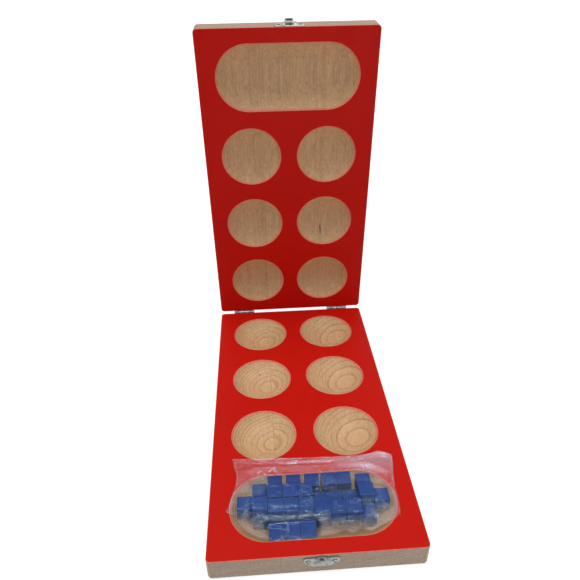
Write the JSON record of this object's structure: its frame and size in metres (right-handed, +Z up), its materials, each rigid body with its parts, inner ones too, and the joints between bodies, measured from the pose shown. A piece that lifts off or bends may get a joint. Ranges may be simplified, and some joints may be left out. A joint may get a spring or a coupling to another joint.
{
  "type": "folding mancala board",
  "caption": "Folding wooden mancala board: hinged leaves with round pits and long end stores, a hasp to hold it shut, and playing cubes in a clear bag.",
  "frame": {"origin": "centre of the lower leaf's underside, on the table", "axes": "+Z up; +X across the board; +Y along the lower leaf from its store end to the hinges"},
  "size_m": [0.14, 0.2867, 0.2874],
  "materials": {
    "beech": "bare oiled beech, satin; the playing face is painted a glossy red",
    "nickel": "bright nickel plate on pressed steel",
    "blue_stain": "blue stain, matt",
    "clear_film": "thin clear film, glossy, crinkled"
  },
  "bodies": {
    "lower_board": {"bag_film": "clear_film", "cube_back_1": "blue_stain", "cube_back_2": "blue_stain", "cube_back_3": "blue_stain", "cube_back_4": "blue_stain", "cube_back_5": "blue_stain", "cube_back_6": "blue_stain", "cube_back_7": "blue_stain", "cube_back_8": "blue_stain", "cube_back_support": "blue_stain", "cube_back_support_pair": "blue_stain", "cube_far_1": "blue_stain", "cube_far_2": "blue_stain", "cube_far_3": "blue_stain", "cube_far_4": "blue_stain", "cube_far_5": "blue_stain", "cube_far_6": "blue_stain", "cube_front_1": "blue_stain", "cube_front_2": "blue_stain", "cube_front_3": "blue_stain", "cube_front_4": "blue_stain", "cube_front_5": "blue_stain", "cube_front_6": "blue_stain", "cube_front_7": "blue_stain", "cube_front_8": "blue_stain", "cube_front_support_1": "blue_stain", "cube_front_support_2": "blue_stain", "cube_front_support_3": "blue_stain", "cube_front_support_4": "blue_stain", "cube_left_end": "blue_stain", "cube_left_support": "blue_stain", "cube_near_1": "blue_stain", "cube_near_2": "blue_stain", "cube_near_3": "blue_stain", "cube_right_end": "blue_stain", "cube_right_support": "blue_stain", "hinge_left_lower_plate": "nickel", "hinge_left_lower_screw_1": "nickel", "hinge_left_lower_screw_2": "nickel", "hinge_left_pin": "nickel", "hinge_right_lower_plate": "nickel", "hinge_right_lower_screw_1": "nickel", "hinge_right_lower_screw_2": "nickel", "hinge_right_pin": "nickel", "keeper_plate": "nickel", "keeper_screw_1": "nickel", "keeper_screw_2": "nickel", "lower_leaf": "beech"},
    "upper_board": {"upper_leaf": "beech", "hasp_base_plate": "nickel", "hasp_pin": "nickel", "hasp_screw_1": "nickel", "hasp_screw_2": "nickel", "hinge_left_upper_plate": "nickel", "hinge_left_upper_screw_1": "nickel", "hinge_left_upper_screw_2": "nickel", "hinge_right_upper_plate": "nickel", "hinge_right_upper_screw_1": "nickel", "hinge_right_upper_screw_2": "nickel"},
    "hasp_lever_body": {"hasp_lever": "nickel"}
  },
  "joints": [
    {"name": "board_fold", "type": "hinge", "parent": "lower_board", "child": "upper_board", "pos_m": [0, 0.1335, 0.0182], "axis": [-1, 0, 0], "range_deg": [-86, 94], "deforming": ["bag_film"]},
    {"name": "hasp_swing", "type": "hinge", "parent": "upper_board", "child": "hasp_lever_body", "pos_m": [0.0015, 0.11701, 0.2855], "axis": [1, 0, 0], "range_deg": [0, 174]}
  ]
}
